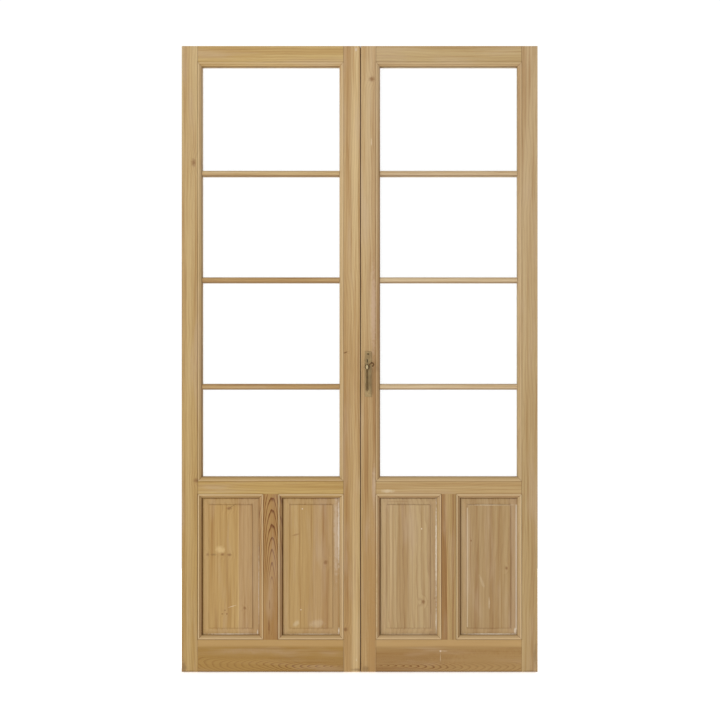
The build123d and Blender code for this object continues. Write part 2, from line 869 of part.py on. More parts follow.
def rack_teeth(toward, limits):
    """Straight-sided teeth that fill the rack's length, set half a pitch off the pinion's level."""
    root_x = spindle_x - toward * rack_root
    tip_x = spindle_x - toward * rack_tip
    half = (tooth_pitch / 2 - backlash) / 2
    root_half = half + (rack_root - pitch_radius) * tan(pressure_angle)
    tip_half = half - (pitch_radius - rack_tip) * tan(pressure_angle)
    low, high = limits
    first = int((low - spindle_z) / tooth_pitch) - 1
    last = int((high - spindle_z) / tooth_pitch) + 1
    for k in range(first, last):
        z = spindle_z + (k + 1 / 2) * tooth_pitch
        if z - root_half > low and z + root_half < high:
            slab(
                (
                    (root_x - toward * rod_play, z - root_half),
                    (root_x, z - root_half),
                    (tip_x, z - tip_half),
                    (tip_x, z + tip_half),
                    (root_x, z + root_half),
                    (root_x - toward * rod_play, z + root_half),
                ),
                rod_y - rod_size / 2,
                rod_y + rod_size / 2,
            )


rod_near_y = rod_y - rod_size / 2
rod_far_y = rod_y + rod_size / 2

# Upper rod: a rack on the pinion's right, carried over the pinion to the groove in the edge
with BuildPart() as upper_rod:
    rack_low = upper_rack[0] - rack_spare
    right_root = spindle_x + rack_root
    block(right_root, right_root + rack_back, rod_near_y, rod_far_y, rack_low, jog_z + jog_height)
    block(rod_x(1), right_root + rack_back, rod_near_y, rod_far_y, jog_z, jog_z + jog_height)
    block(rod_x(1), rod_x(1) + rod_size, rod_near_y, rod_far_y, jog_z, body_top - rod_setback)
    rack_teeth(-1, (rack_low, upper_rack[1] + rack_spare))
save(upper_rod.part, "upper_bolt_rod")

# Lower rod: a rack on the pinion's left, straight down the groove
with BuildPart() as lower_rod:
    rack_low = lower_rack[0] - rack_spare
    left_root = spindle_x - rack_root
    block(rod_x(1), left_root, rod_near_y, rod_far_y, rack_low, lower_rack[1])
    block(rod_x(1), rod_x(1) + rod_size, rod_near_y, rod_far_y, body_bottom + rod_setback, lower_rack[1])
    rack_teeth(1, (rack_low, lower_rack[1]))
save(lower_rod.part, "lower_bolt_rod")

# Lever handle: spindle, collar, neck, square boss, flat waisted grip hanging down, and a curl
with BuildPart() as lever:
    block(
        spindle_x - spindle_size / 2,
        spindle_x + spindle_size / 2,
        plate_front - collar_gap,
        case_back - case_wall - rod_gap,
        spindle_z - spindle_size / 2,
        spindle_z + spindle_size / 2,
    )
    collar_back = plate_front - collar_gap
    rod(spindle_x, collar_back - collar_height, collar_back, spindle_z, collar_radius)
    rod(spindle_x, grip_y, collar_back - collar_height, spindle_z, neck_radius)
    boss = boss_size / 2
    boss_span = (spindle_x - boss, spindle_x + boss, grip_y - boss, grip_y + boss)
    block(*boss_span, spindle_z - boss, spindle_z + boss)
    grip_z = [spindle_z - boss - (lever_length - boss) * share for share in grip_shares]
    left_rim = [(spindle_x - half, z) for half, z in zip(grip_half_widths, grip_z)]
    right_rim = [(spindle_x + half, z) for half, z in zip(grip_half_widths, grip_z)]
    slab(left_rim + right_rim[::-1], grip_y - grip_half_depth, grip_y + grip_half_depth)
    rims = []
    for radius in (curl_radius + curl_half, curl_radius - curl_half):
        turns = [curl_start - curl_sweep * k / curl_facets for k in range(curl_facets + 1)]
        rims.append([(curl_x + radius * cos(a), curl_z + radius * sin(a)) for a in turns])
    slab(rims[0] + rims[1][::-1], grip_y - curl_half, grip_y + curl_half)
    lead_x = curl_x + curl_radius * cos(curl_start) - spindle_x
    lead_z = curl_z + curl_radius * sin(curl_start) - spindle_z
    lead = sqrt(lead_x**2 + lead_z**2)
    off_x, off_z = -curl_half * lead_z / lead, curl_half * lead_x / lead
    stem = (
        (spindle_x + off_x, spindle_z + off_z),
        (spindle_x + lead_x + off_x, spindle_z + lead_z + off_z),
        (spindle_x + lead_x - off_x, spindle_z + lead_z - off_z),
        (spindle_x - off_x, spindle_z - off_z),
    )
    slab(stem, grip_y - curl_half, grip_y + curl_half)
save(lever.part, "lever_handle")

# Frame: jambs the full height, head and threshold tenoned between them
head_tenon = (head_stop + frame_tenon_inset, head_top - frame_tenon_inset)
sill_tenon = (sill_web / 2, sill_stop - frame_tenon_inset)
frame_tenon_near = (stop_face + frame_back - frame_tenon_thickness) / 2
frame_tenon_far = frame_tenon_near + frame_tenon_thickness
fixing_heights = (fixing_z - fixing_spacing / 2, fixing_z + fixing_spacing / 2)
for side, hand in ((-1, "left"), (1, "right")):
    with BuildPart() as jamb:
        block(side * jamb_web, side * jamb_outer, frame_front, frame_back, 0, head_top)
        block(side * jamb_stop, side * jamb_outer, stop_face, frame_back, 0, head_top)
        for low, high in (head_tenon, sill_tenon):
            block(
                side * (jamb_stop - overrun),
                side * (jamb_stop + frame_tenon + joint_clearance),
                frame_tenon_near - joint_clearance,
                frame_tenon_far + joint_clearance,
                low - joint_clearance,
                high + joint_clearance,
                Mode.SUBTRACT,
            )
        for z in hinge_heights:
            flap_out = side * (jamb_outer - flap_edge)
            block(
                flap_out,
                flap_out - side * flap_width,
                frame_front - overrun,
                frame_front + flap_thickness,
                z - barrel_gap / 2 - barrel_length,
                z - barrel_gap / 2,
                Mode.SUBTRACT,
            )
        across = Plane.YZ.offset(min(side * jamb_stop, side * jamb_outer) - overrun)
        with BuildSketch(across) as fixings:
            with Locations(*[(fixing_y, z) for z in fixing_heights]):
                Circle(fixing_radius)
        extrude(fixings.sketch, amount=jamb_outer - jamb_stop + 2 * overrun, mode=Mode.SUBTRACT)
    save(jamb.part, f"{hand}_jamb")

bolt_places = [(side * rod_x(side), side * (rod_x(side) + rod_size)) for side in (-1, 1)]
cross_members = {
    "head": (head_web, head_top, head_stop, head_tenon, head_web, head_web + keeper_depth),
    "threshold": (0, sill_web, sill_stop, sill_tenon, sill_web - keeper_depth, sill_web),
}
for name, (low, high, stop_edge, tenon, keep_low, keep_high) in cross_members.items():
    with BuildPart() as member:
        block(-jamb_web, jamb_web, frame_front, stop_face, low, high)
        stop_low = stop_edge if name == "head" else low
        stop_high = high if name == "head" else stop_edge
        block(-jamb_stop, jamb_stop, stop_face, frame_back, stop_low, stop_high)
        for side in (-1, 1):
            end = side * jamb_stop
            block(end, end + side * frame_tenon, frame_tenon_near, frame_tenon_far, *tenon)
        for x_a, x_b in bolt_places:
            block(
                min(x_a, x_b) - rod_gap,
                max(x_a, x_b) + rod_gap,
                rod_near_y - rod_gap,
                rod_far_y + rod_gap,
                keep_low,
                keep_high,
                Mode.SUBTRACT,
            )
    save(member.part, name)
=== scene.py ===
import bpy
import numpy as np
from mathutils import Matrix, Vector


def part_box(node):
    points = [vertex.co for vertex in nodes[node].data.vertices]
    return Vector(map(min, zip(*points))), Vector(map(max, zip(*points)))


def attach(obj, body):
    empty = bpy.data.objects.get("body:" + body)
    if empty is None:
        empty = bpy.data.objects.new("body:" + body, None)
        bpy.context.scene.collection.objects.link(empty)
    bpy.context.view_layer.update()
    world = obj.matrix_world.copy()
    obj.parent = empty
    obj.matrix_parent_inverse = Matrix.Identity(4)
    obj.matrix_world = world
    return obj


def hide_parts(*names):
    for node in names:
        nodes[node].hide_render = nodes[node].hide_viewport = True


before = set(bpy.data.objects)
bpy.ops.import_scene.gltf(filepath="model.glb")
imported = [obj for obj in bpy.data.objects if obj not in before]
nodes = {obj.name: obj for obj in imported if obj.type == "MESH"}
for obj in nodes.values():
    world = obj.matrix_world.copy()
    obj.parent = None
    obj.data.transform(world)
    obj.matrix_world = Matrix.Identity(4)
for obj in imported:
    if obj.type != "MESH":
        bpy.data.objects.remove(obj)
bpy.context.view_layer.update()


# Hinge stiles: the outer uprights of the two leaves, sawn from old pine and left bare after stripping.
# Their grain runs the full height, paler and pinker near the top, and a few knots sit in the left one.
# The rails are tenoned into them, and the moulding round glass and panels is worked on their inner edges.
def tone(red, green, blue):
    """A colour given as it looks on a screen, 0 to 255, in the linear light that the shader takes."""
    shown = np.array((red, green, blue)) / 255.0
    linear = np.where(shown < 0.04045, shown / 12.92, ((shown + 0.055) / 1.055) ** 2.4)
    return (*linear.tolist(), 1.0)


def plug(tree, socket, value):
    """Joins a socket to another, or sets a plain number or colour on it."""
    if isinstance(value, bpy.types.NodeSocket):
        tree.links.new(value, socket)
    else:
        socket.default_value = value


def work(tree, kind, *values):
    """One step of arithmetic in a material."""
    step = tree.nodes.new("ShaderNodeMath")
    step.operation = kind
    for socket, value in zip(step.inputs, values):
        plug(tree, socket, value)
    return step.outputs[0]


def cloud(tree, place, stretch, detail=2.0, rough=0.5):
    """Soft noise from 0 to 1, read at place after its three coordinates are multiplied by stretch."""
    scaled = tree.nodes.new("ShaderNodeMapping")
    scaled.inputs["Scale"].default_value = stretch
    tree.links.new(place, scaled.inputs["Vector"])
    noise = tree.nodes.new("ShaderNodeTexNoise")
    noise.inputs["Scale"].default_value = 1.0
    noise.inputs["Detail"].default_value = detail
    noise.inputs["Roughness"].default_value = rough
    tree.links.new(scaled.outputs[0], noise.inputs["Vector"])
    return noise.outputs["Fac"]


def fade(tree, value, start, end, low=0.0, high=1.0):
    """A smooth step: low where value is at start, high where it is at end, and held beyond them."""
    step = tree.nodes.new("ShaderNodeMapRange")
    step.interpolation_type = "SMOOTHSTEP"
    for socket, number in zip(step.inputs[:5], (value, start, end, low, high)):
        plug(tree, socket, number)
    return step.outputs[0]


def tint(tree, kind, share, under, over):
    """One colour laid over another by a blending rule, as far as share says."""
    step = tree.nodes.new("ShaderNodeMix")
    step.data_type = "RGBA"
    step.blend_type = kind
    for index, value in ((0, share), (6, under), (7, over)):
        plug(tree, step.inputs[index], value)
    return step.outputs[2]


def offset(tree, value, middle, half):
    """How far a coordinate lies outside a span, given by its middle and half its length."""
    return work(tree, "SUBTRACT", work(tree, "ABSOLUTE", work(tree, "SUBTRACT", value, middle)), half)


def band(tree, value, at, half):
    """A soft line: 1 where value is at the given place, falling to 0 at half a width and a half away."""
    away = work(tree, "ABSOLUTE", work(tree, "SUBTRACT", value, at))
    return fade(tree, away, 0.5 * half, 1.5 * half, 1.0, 0.0)


def times(tree, first, *others):
    """The product of two or more values in a material."""
    for other in others:
        first = work(tree, "MULTIPLY", first, other)
    return first


def wear_and_light_round_opening(tree, colour, x, z, streak, opening, field):
    """What age and painted light do round one opening, by the distance outside its sight edge.

    Next to the sight edge lies painted shade, on the left and above, for the shadow that light from the
    upper left leaves there. Further out come the worn, paler moulding with a dark line of painted shade
    along its middle on the left and above, a pale arris that is wear with a painted highlight, a hair line
    of painted shade in the quirk, and a hair line at each mitre, where the two distances are the same. The
    lower moulding is the palest, from a painted highlight where it faces the light. Inside the edge, a
    panel has the outline of its field.
    has the outline of its field."""
    middle_x, middle_z, half_x, half_z, depth = opening
    groove_at, arris_at, quirk_at = 0.0070, 0.0122, 0.0152
    bevel_at, field_at = -0.0125, -0.0242
    strong = depth**2
    out_x = offset(tree, x, middle_x, half_x)
    out_z = offset(tree, z, middle_z, half_z)
    out = work(tree, "MAXIMUM", out_x, out_z)
    past_mitre = work(tree, "SUBTRACT", out_x, out_z)
    beside = fade(tree, past_mitre, -0.0005, 0.0005)
    right = times(tree, beside, fade(tree, x, middle_x - 0.01, middle_x + 0.01))
    level = work(tree, "SUBTRACT", 1.0, beside)
    below = times(tree, level, fade(tree, z, middle_z + 0.01, middle_z - 0.01))
    # Painted shade: the strength of the darkening on the left and upper sides, which the light from the
    # upper left leaves in shadow.
    upper_left_shade = work(tree, "MULTIPLY_ADD", work(tree, "MAXIMUM", right, below), -depth, depth)
    moulded = times(tree, fade(tree, out, 0.0, 0.003), fade(tree, out, 0.012, 0.015, 1.0, 0.0))

    worn = times(tree, moulded, fade(tree, streak, 0.3, 0.6, 0.20 * strong, 0.55 * strong))
    colour = tint(tree, "MIX", worn, colour, tone(194, 166, 130))
    # Painted highlight: the lower moulding, which faces up to the light, is painted paler.
    lit = times(tree, below, moulded, 0.7 * strong)
    colour = tint(tree, "MIX", lit, colour, tone(206, 176, 130))
    # Painted shade: a dark line along the middle of the moulding, on the left and above.
    groove = times(tree, band(tree, out, groove_at, 0.0017), upper_left_shade, 0.9 * depth)
    colour = tint(tree, "MULTIPLY", groove, colour, tone(170, 144, 116))
    # A pale line on the arris: wear, with a painted highlight for the light that the fillet catches.
    arris = times(tree, band(tree, out, arris_at, 0.0016), 0.90 * strong)
    colour = tint(tree, "MIX", arris, colour, tone(222, 198, 156))
    # Painted shade: a dark band next to the sight edge, on the left and above.
    edge = times(tree, fade(tree, out, -0.0035, -0.0005), fade(tree, out, 0.0010, 0.0040, 1.0, 0.0), upper_left_shade)
    colour = tint(tree, "MULTIPLY", edge, colour, tone(164, 140, 114))
    # Painted shade: a dark hair line in the quirk, for the shadow in it.
    quirk = times(tree, band(tree, out, quirk_at, 0.0012), 0.85 * strong)
    colour = tint(tree, "MULTIPLY", quirk, colour, tone(150, 118, 80))
    mitre = times(tree, band(tree, past_mitre, 0.0, 0.0008), moulded, 0.6)
    colour = tint(tree, "MULTIPLY", mitre, colour, tone(140, 106, 66))
    if field:
        outline = times(tree, band(tree, out, field_at, 0.0011), 0.26)
        colour = tint(tree, "MULTIPLY", outline, colour, tone(150, 116, 76))
        bevel = times(tree, band(tree, out, bevel_at, 0.0075), 0.28)
        colour = tint(tree, "MIX", bevel, colour, tone(186, 156, 114))
    return colour


pane_middle_x = 0.31325
pane_half_x = 0.24175
front_y = -0.0350
hidden_y = -0.0335
longest_oval = 0.2
no_flame = (9.0, 10.0)


def oval(tree, x, z, half_x, half_z):
    """Distance from the middle of an oval, 1 on its edge, from the two distances to its middle."""
    flat = work(tree, "DIVIDE", x, half_x)
    upright = work(tree, "DIVIDE", z, half_z)
    return work(tree, "SQRT", work(tree, "MULTIPLY_ADD", upright, upright, times(tree, flat, flat)))


def pine(name, run, high, low, heart, lean, ring, figure, openings=(), knots=(), boards=(), marks=(),
         field=False, bands=1.0, wild=1.0, early=0.42, flame=no_flame, seed=0.0):
    """Bare pine cut from a log whose heart is a line beside the piece.

    The distance from the heart line, which leans and wanders along the grain, over the width of a year's
    growth gives the rings: pale early wood with a thin dark late edge. Knots swell that distance, so the
    rings flow round them. Bands, streaks and fibres are noise drawn out along the grain. The rings are
    bold up to the first Z of flame and fade towards its second. Grain that runs round follows a frame of
    beads, upright outside the panes' width and level inside it.

    knots are X, Z, half width, half height. boards are upright bands of another tone: X, half width, lean,
    share, colour, soft edge. marks are ragged ovals on the front: X, Z, half width, half height, slope,
    share, colour. Marks with a half longer than longest_oval have straight edges instead."""
    finish = bpy.data.materials.new(name)
    finish.use_nodes = True
    tree = finish.node_tree
    shader = tree.nodes["Principled BSDF"]
    place = tree.nodes.new("ShaderNodeTexCoord").outputs["Object"]
    split = tree.nodes.new("ShaderNodeSeparateXYZ")
    tree.links.new(place, split.inputs[0])
    x, y, z = split.outputs
    across, along = (x, z) if run == "Z" else (z, x)
    if run == "round":
        outside = offset(tree, work(tree, "ABSOLUTE", x), pane_middle_x, pane_half_x)
        upright_run = fade(tree, outside, -0.0001, 0.0001)
        across = work(tree, "MULTIPLY_ADD", work(tree, "SUBTRACT", x, z), upright_run, z)
        along = work(tree, "MULTIPLY_ADD", work(tree, "SUBTRACT", z, x), upright_run, x)
    joined = tree.nodes.new("ShaderNodeCombineXYZ")
    for socket, value in zip(joined.inputs, (across, y, work(tree, "ADD", along, seed))):
        plug(tree, socket, value)
    grain = joined.outputs[0]

    wander = work(tree, "MULTIPLY_ADD", cloud(tree, grain, (5.0, 5.0, 2.2)), 0.06 * wild, -0.03 * wild)
    shiver = work(tree, "MULTIPLY_ADD", cloud(tree, grain, (60.0, 60.0, 14.0)), 0.6 * ring, -0.3 * ring)
    heart_across, heart_y, heart_along = heart
    drift = times(tree, work(tree, "SUBTRACT", along, heart_along), lean)
    side = work(tree, "ADD", work(tree, "SUBTRACT", across, heart_across), wander)
    back = work(tree, "SUBTRACT", work(tree, "SUBTRACT", y, heart_y), drift)
    square = work(tree, "ADD", times(tree, side, side), times(tree, back, back))
    reach = work(tree, "ADD", work(tree, "SQRT", square), shiver)
    eyes = 0.0
    for knot_x, knot_z, half_x, half_z in knots:
        from_x = work(tree, "SUBTRACT", x, knot_x)
        from_z = work(tree, "SUBTRACT", z, knot_z)
        off = oval(tree, from_x, from_z, half_x, half_z)
        off = work(tree, "MULTIPLY_ADD", cloud(tree, place, (190.0, 190.0, 190.0)), 0.9, off)
        reach = work(tree, "ADD", reach, fade(tree, off, 0.8, 4.0, 0.9 * ring, 0.0))
        eyes = work(tree, "MAXIMUM", eyes, fade(tree, off, 0.55, 1.65, 1.0, 0.0))
    ripple = times(tree, cloud(tree, grain, (140.0, 140.0, 5.0)), 0.4)
    year = work(tree, "FRACT", work(tree, "ADD", work(tree, "DIVIDE", reach, ring), ripple))
    late = times(tree, fade(tree, year, early, 0.9), fade(tree, year, 0.93, 1.0, 1.0, 0.0))
    drawn = times(tree, late, fade(tree, z, *flame, figure, 0.14))

    wide_band = cloud(tree, grain, (34.0, 34.0, 0.9), 2.0, 0.5)
    blush = cloud(tree, grain, (22.0, 12.0, 3.2), 3.0, 0.55)
    streak = cloud(tree, grain, (150.0, 150.0, 2.6), 3.0, 0.6)
    fibre = cloud(tree, grain, (1000.0, 1000.0, 16.0), 3.0, 0.6)
    colour = tint(tree, "MIX", fade(tree, z, 0.3, 2.1), tone(*low), tone(*high))
    for board_x, half, slant, share, shade, soft in boards:
        middle = work(tree, "MULTIPLY_ADD", z, slant, board_x)
        over = offset(tree, work(tree, "SUBTRACT", x, middle), 0.0, half)
        colour = tint(tree, "MIX", fade(tree, over, -soft, soft, share, 0.0), colour, tone(*shade))
    dark_band = fade(tree, wide_band, 0.46, 0.68, 0.0, 0.62 * bands)
    pale_band = fade(tree, wide_band, 0.47, 0.3, 0.0, 0.30 * bands)
    dark_streak = fade(tree, streak, 0.46, 0.76, 0.0, 0.75 * bands)
    pale_streak = fade(tree, streak, 0.44, 0.24, 0.0, 0.22 * bands)
    colour = tint(tree, "MULTIPLY", drawn, colour, tone(168, 118, 66))
    colour = tint(tree, "MULTIPLY", dark_band, colour, tone(218, 196, 166))
    colour = tint(tree, "SCREEN", pale_band, colour, tone(104, 90, 66))
    colour = tint(tree, "MIX", fade(tree, blush, 0.48, 0.74, 0.0, 0.42), colour, tone(188, 163, 134))
    colour = tint(tree, "MULTIPLY", dark_streak, colour, tone(216, 194, 162))
    colour = tint(tree, "SCREEN", pale_streak, colour, tone(104, 90, 66))
    colour = tint(tree, "MULTIPLY", fade(tree, fibre, 0.54, 0.8, 0.0, 0.45), colour, tone(206, 180, 140))
    if knots:
        colour = tint(tree, "MIX", times(tree, eyes, 0.72), colour, tone(126, 84, 48))
    for opening in openings:
        colour = wear_and_light_round_opening(tree, colour, x, z, streak, opening, field)
    front = fade(tree, y, hidden_y, front_y)
    smudge = cloud(tree, place, (110.0, 110.0, 90.0), 4.0, 0.6)
    ragged = work(tree, "MULTIPLY_ADD", smudge, 1.6, -0.8)
    for mark_x, mark_z, half_x, half_z, slope, share, shade in marks:
        rise = work(tree, "MULTIPLY_ADD", x, slope, mark_z - slope * mark_x)
        from_z = work(tree, "SUBTRACT", z, rise)
        if max(half_x, half_z) > longest_oval:
            rim = min(half_x, half_z, 0.006)
            past_z = offset(tree, from_z, 0.0, half_z)
            past = work(tree, "MAXIMUM", offset(tree, x, mark_x, half_x), past_z)
            over = fade(tree, past, -rim, rim, share, 0.0)
        else:
            off = oval(tree, work(tree, "SUBTRACT", x, mark_x), from_z, half_x, half_z)
            over = fade(tree, work(tree, "ADD", off, ragged), 0.35, 1.45, share, 0.0)
        colour = tint(tree, "MIX", times(tree, over, front), colour, tone(*shade))
    plug(tree, shader.inputs["Base Color"], colour)
    plug(tree, shader.inputs["Roughness"], fade(tree, late, 0.0, 1.0, 0.64, 0.52))
    shader.inputs["Specular IOR Level"].default_value = 0.25
    bump = tree.nodes.new("ShaderNodeBump")
    bump.inputs["Strength"].default_value = 0.25
    bump.inputs["Distance"].default_value = 0.0006
    height = work(tree, "ADD", times(tree, fibre, 0.6), times(tree, late, 0.5))
    tree.links.new(height, bump.inputs["Height"])
    tree.links.new(bump.outputs[0], shader.inputs["Normal"])
    return finish


def dress(node, finish):
    """Puts one finish on every slot of a piece that comes from the frame."""
    for place in nodes[node].material_slots:
        place.material = finish


def sight(side, names):
    """A leaf's openings: middle X and Z, half the width and height at the sight edge, and the strength of
    the painted shade, painted highlights and wear round it.
    """
    every = {
        "glass": (side * pane_middle_x, 1.411, pane_half_x, 0.722, 0.6),
        "inner": (side * 0.171875, 0.373, 0.100375, 0.241, 0.8),
        "outer": (side * 0.454625, 0.373, 0.100375, 0.241, 0.8),
    }
    return [every[name] for name in names]


pale_trace = (222, 206, 178)
old_paint = (232, 222, 202)
# A dark tone for stains, dirt and dark joints, also used for the painted shadow along the leaves' bottom
# edge.
grime_and_shade = (112, 84, 52)
red_wood = (174, 134, 84)
grey_wood = (196, 168, 142)
dress("left_hinge_stile", pine(
    "left_hinge_stile_pine", "Z", high=(193, 167, 121), low=(176, 144, 88), heart=(-0.86, 0.05, 1.0),
    lean=0.004, ring=0.0095, figure=0.16, openings=sight(-1, ("glass", "outer")),
    knots=(
        (-0.5837, 1.7942, 0.010, 0.017),
        (-0.5738, 0.6768, 0.012, 0.010),
    ),
    boards=(
        (-0.602, 0.010, 0.0, 0.25, (200, 174, 124), 0.006),
    ),
    marks=(
        (-0.618, 0.022, 0.008, 0.020, 0.0, 0.5, grime_and_shade),
        # Painted shadow: a dark strip along the bottom edge, over the floor.
        (-0.600, 0.006, 0.030, 0.003, 0.0, 0.5, grime_and_shade),
    ),
    bands=0.8, seed=0.0))
dress("right_hinge_stile", pine(
    "right_hinge_stile_pine", "Z", high=(189, 164, 125), low=(177, 150, 104), heart=(0.83, 0.08, 1.0),
    lean=-0.006, ring=0.0090, figure=0.16, openings=sight(1, ("glass", "outer")),
    boards=(
        (0.612, 0.008, 0.0, 0.25, (166, 138, 98), 0.006),
    ),
    marks=(
        (0.617, 0.060, 0.006, 0.040, 0.0, 0.35, grime_and_shade),
        # Painted shadow: a dark strip along the bottom edge, over the floor.
        (0.600, 0.006, 0.030, 0.003, 0.0, 0.5, grime_and_shade),
    ),
    bands=0.9, seed=3.1))


# Meeting stiles: the inner uprights, which come together in the middle when the doors are shut.
# The same pine, with a thin band of painted shade along the meeting edge, for the dark gap between the
# leaves.
# The lock and its bolt rods are let into the edge of the right one.
left_edge_x = 0.0024
right_edge_x = 0.0036
# Painted shade: a dark band along each meeting edge, for the shadow in the gap between the leaves.
meeting_gap_shade = (94, 66, 38)
dress("left_meeting_stile", pine(
    "left_meeting_stile_pine", "Z", high=(193, 166, 122), low=(184, 156, 107), heart=(-0.31, 0.06, 1.0),
    lean=0.005, ring=0.0085, figure=0.18, openings=sight(-1, ("glass", "inner")),
    knots=(
        (-0.0504, 0.1534, 0.011, 0.009),
        (-0.0520, 1.1255, 0.005, 0.003),
        (-0.0475, 1.1275, 0.005, 0.003),
    ),
    boards=(
        (-0.0420, 0.0120, 0.0, 0.40, red_wood, 0.006),
        (-0.0150, 0.0105, 0.0, 0.60, (205, 178, 131), 0.005),
        (left_edge_x, 0.0012, 0.0, 0.9, meeting_gap_shade, 0.0010),
    ),
    marks=(
        (-0.0497, 1.1268, 0.0055, 0.0018, 0.45, 1.0, (104, 66, 36)),
        (-0.0080, 0.012, 0.020, 0.004, 0.0, 0.5, grime_and_shade),
        (-0.0120, 0.046, 0.0012, 0.005, 0.0, 0.5, pale_trace),
        (-0.0128, 2.192, 0.0035, 0.006, 0.0, 0.6, (214, 194, 180)),
    ),
    seed=5.7))
dress("right_meeting_stile", pine(
    "right_meeting_stile_pine", "Z", high=(194, 168, 127), low=(176, 145, 97), heart=(0.33, 0.07, 1.0),
    lean=-0.005, ring=0.0088, figure=0.16, openings=sight(1, ("glass", "inner")),
    knots=(
        (0.0430, 2.0880, 0.012, 0.011),
    ),
    boards=(
        (0.0500, 0.0060, 0.0, 0.50, (170, 134, 90), 0.006),
        (0.0150, 0.0070, 0.0, 0.45, (200, 172, 124), 0.005),
        (right_edge_x, 0.0012, 0.0, 0.9, meeting_gap_shade, 0.0010),
    ),
    marks=(
        (0.0480, 1.280, 0.0090, 0.150, 0.0, 0.6, grey_wood),
        (0.0412, 1.867, 0.0014, 0.012, 0.0, 0.6, pale_trace),
        (0.0500, 0.660, 0.0060, 0.070, 0.0, 0.35, (204, 184, 166)),
        (0.0440, 0.100, 0.0180, 0.190, 0.0, 0.60, (168, 130, 78)),
        (0.0450, 0.380, 0.0150, 0.190, 0.0, 0.55, (168, 130, 78)),
        (0.0200, 0.014, 0.0120, 0.012, 0.0, 0.45, grime_and_shade),
    ),
    seed=8.3))


# Rails: the level members, tenoned into the stiles, with a dark hair line at each shoulder.
# The top and lock rails are straight in the grain.
# The deep bottom rails are darker, pale along the top, and show a small flame near the floor.
shoulder_x = 0.570
meeting_shoulder_x = 0.0565
middle_x = (shoulder_x + meeting_shoulder_x) / 2.0
half_rail = (shoulder_x - meeting_shoulder_x) / 2.0
rail_woods = {
    "left_top_rail": ((191, 162, 107), (190, 161, 106)),
    "right_top_rail": ((186, 160, 114), (185, 159, 113)),
    "left_lock_rail": ((185, 154, 95), (185, 154, 95)),
    "right_lock_rail": ((183, 154, 106), (183, 154, 106)),
    "left_bottom_rail": ((165, 130, 70), (163, 128, 69)),
    "right_bottom_rail": ((169, 136, 86), (168, 135, 85)),
}
rail_hearts = {"top": (2.42, 0.06, 0.0), "lock": (0.86, 0.05, 0.0), "bottom": (0.028, -0.053, 0.06)}
rail_openings = {"top": ("glass",), "lock": ("glass", "inner", "outer"), "bottom": ("inner", "outer")}
hair_line = 0.0010
for order, (node, (high, low)) in enumerate(rail_woods.items()):
    hand, level = node.split("_")[:2]
    side = -1.0 if hand == "left" else 1.0
    heart_z, heart_y, heart_x = rail_hearts[level]
    ends = (shoulder_x - hair_line / 2.0, meeting_shoulder_x + hair_line / 2.0)
    marks = [(side * end, 1.1, hair_line, 1.2, 0.0, 0.85, grime_and_shade) for end in ends]
    straight = {"lean": 0.010, "ring": 0.0090, "figure": 0.14}
    flamed = {"lean": side * 0.100, "ring": 0.0026, "figure": 0.80, "early": 0.50, "wild": 1.1,
              "flame": (0.042, 0.072)}
    if level == "bottom":
        marks += [
            (side * middle_x, 0.106, half_rail, 0.013, 0.0, 0.6, (190, 156, 104)),
            (side * 0.460, 0.034, 0.190, 0.046, 0.0, 0.65, low),
            # Painted shadow: a dark strip along the bottom edge, over the floor.
            (side * middle_x, 0.004, half_rail, 0.003, 0.0, 0.7, grime_and_shade),
        ]
    if node == "right_bottom_rail":
        marks += [
            (0.2950, 0.0775, 0.0120, 0.0007, 0.0, 0.6, pale_trace),
            (0.2842, 0.0560, 0.0007, 0.0180, 0.0, 0.5, pale_trace),
            (0.2842, 0.0775, 0.0030, 0.0030, 0.0, 0.6, old_paint),
        ]
    if node == "right_lock_rail":
        marks.append((0.0980, 0.6395, 0.0200, 0.0060, 0.0, 0.4, pale_trace))
    dress(node, pine(
        f"{node}_pine", "X", high, low, (heart_z, heart_y, side * heart_x),
        openings=sight(side, rail_openings[level]), marks=marks, bands=0.7, seed=11.0 + 2.3 * order,
        **(flamed if level == "bottom" else straight)))


# Muntins: the short uprights between the two lower panels of each leaf, the boldest figure in the doors.
# The left one was cut near the heart, so that thin arches stand in its upper half.
# The right one has straight dark and light bands.
dress("left_muntin", pine(
    "left_muntin_pine", "Z", high=(171, 134, 82), low=(166, 129, 77), heart=(-0.3090, -0.0603, 0.13),
    lean=0.090, ring=0.0042, figure=0.95, openings=sight(-1, ("inner", "outer")),
    boards=(
        (-0.3000, 0.0050, 0.0, 0.40, (152, 108, 60), 0.0040),
    ),
    marks=(
        (-0.3190, 0.165, 0.003, 0.030, 0.0, 0.7, (126, 82, 44)),
        (-0.3160, 0.240, 0.0015, 0.020, 0.0, 0.6, (126, 82, 44)),
    ),
    bands=0.8, wild=0.30, early=0.58, flame=(0.38, 0.27), seed=1.9))
dress("right_muntin", pine(
    "right_muntin_pine", "Z", high=(177, 148, 99), low=(176, 147, 98), heart=(0.42, 0.02, 0.36),
    lean=0.010, ring=0.0065, figure=0.22, openings=sight(1, ("inner", "outer")),
    boards=(
        (0.3015, 0.0105, -0.017, 0.85, (150, 110, 63), 0.0018),
        (0.3140, 0.0014, -0.017, 0.5, (204, 170, 116), 0.0012),
        (0.3285, 0.0042, 0.0, 0.65, (147, 109, 66), 0.0022),
    ),
    bands=0.7, seed=4.4))


